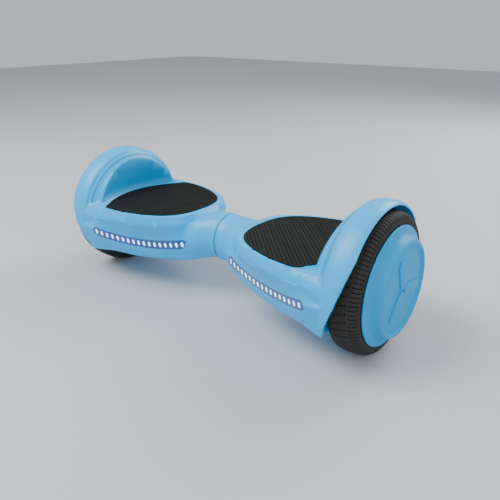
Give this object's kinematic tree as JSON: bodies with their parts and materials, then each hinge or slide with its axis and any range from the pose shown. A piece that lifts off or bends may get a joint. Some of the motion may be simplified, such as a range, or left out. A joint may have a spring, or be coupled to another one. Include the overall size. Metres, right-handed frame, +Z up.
{
  "type": "self balancing hoverboard",
  "caption": "Two-wheeled self balancing board: two foot platforms joined by a twisting neck, each with a hub-motor wheel under a round fender and a light strip.",
  "frame": {"origin": "on the floor, under the centre of the neck", "axes": "+X along the wheel axis to the right wheel, -Y to the front with the light strips, +Z up"},
  "size_m": [0.494, 0.185, 0.175],
  "materials": {
    "shell_blue": "satin",
    "deep_blue": "satin",
    "lens_blue": "glossy",
    "lamp_white": "glowing",
    "pad_black": "matt",
    "tyre_black": "matt",
    "cast_alloy": "cast",
    "steel": "satin",
    "zinc_steel": "zinc plated",
    "copper": "enamelled wire",
    "lamination": "matt",
    "magnet": "nickel",
    "board_green": "solder mask",
    "pack_wrap": "shrink wrap",
    "lead_black": "sleeve",
    "seal_teal": "matt",
    "black_plastic": "matt",
    "bronze": "sintered",
    "button_grey": "matt"
  },
  "bodies": {
    "left_half": {"left_top_cover": "shell_blue", "left_bottom_cover": "shell_blue", "left_cover_screws": "zinc_steel", "left_chassis": "cast_alloy", "left_axle_clamp": "cast_alloy", "left_clamp_screws": "zinc_steel", "left_sensor_board": "board_green", "left_axle": "steel", "left_stator": "lamination", "left_windings": "copper", "left_light_lens": "lens_blue", "left_light_lamps": "lamp_white", "left_light_board": "board_green", "left_motor_lead": "lead_black", "twist_tube": "steel", "twist_circlip": "steel", "limit_pin": "steel", "neck_ring": "seal_teal", "battery_pack": "pack_wrap", "battery_strap": "zinc_steel", "status_lamp": "seal_teal", "battery_lead": "lead_black"},
    "right_half": {"right_top_cover": "shell_blue", "right_bottom_cover": "shell_blue", "right_cover_screws": "zinc_steel", "right_chassis": "cast_alloy", "right_axle_clamp": "cast_alloy", "right_clamp_screws": "zinc_steel", "right_sensor_board": "board_green", "right_axle": "steel", "right_stator": "lamination", "right_windings": "copper", "right_light_lens": "lens_blue", "right_light_lamps": "lamp_white", "right_light_board": "board_green", "right_motor_lead": "lead_black", "twist_bushes": "bronze", "main_board": "board_green", "charge_socket": "black_plastic", "centre_harness": "lead_black"},
    "left_wheel": {"left_tyre": "tyre_black", "left_drum": "cast_alloy", "left_magnets": "magnet", "left_inner_motor_cover": "cast_alloy", "left_outer_motor_cover": "cast_alloy", "left_bearings": "steel", "left_motor_screws": "zinc_steel", "left_hub_cap": "deep_blue"},
    "left_pad": {"left_foot_pad": "pad_black"},
    "right_wheel": {"right_tyre": "tyre_black", "right_drum": "cast_alloy", "right_magnets": "magnet", "right_inner_motor_cover": "cast_alloy", "right_outer_motor_cover": "cast_alloy", "right_bearings": "steel", "right_motor_screws": "zinc_steel", "right_hub_cap": "deep_blue"},
    "right_pad": {"right_foot_pad": "pad_black"},
    "charge_cap": {"charge_cap": "black_plastic"},
    "power_button": {"power_button": "button_grey"}
  },
  "joints": [
    {"name": "centre_twist", "type": "hinge", "parent": "left_half", "child": "right_half", "pos_m": [0, 0, 0.0825], "axis": [1, 0, 0], "range_deg": [-10, 10]},
    {"name": "left_wheel_spin", "type": "hinge", "parent": "left_half", "child": "left_wheel", "pos_m": [-0.214, 0, 0.0825], "axis": [1, 0, 0], "continuous": true},
    {"name": "right_wheel_spin", "type": "hinge", "parent": "right_half", "child": "right_wheel", "pos_m": [0.214, 0, 0.0825], "axis": [1, 0, 0], "continuous": true},
    {"name": "left_pad_press", "type": "slide", "parent": "left_half", "child": "left_pad", "axis": [0, 0, -1], "range_m": [0, 0.0012], "stiffness_N_per_m": 12000},
    {"name": "right_pad_press", "type": "slide", "parent": "right_half", "child": "right_pad", "axis": [0, 0, -1], "range_m": [0, 0.0012], "stiffness_N_per_m": 12000},
    {"name": "charge_cap_flap", "type": "hinge", "parent": "right_half", "child": "charge_cap", "pos_m": [0.10418, 0.06666, 0.05981], "axis": [-0.9563, -0.2924, 0], "range_deg": [0, 95]},
    {"name": "power_button_press", "type": "slide", "parent": "right_half", "child": "power_button", "axis": [0.286, -0.9354, 0.2079], "range_m": [0, 0.001], "stiffness_N_per_m": 400}
  ]
}
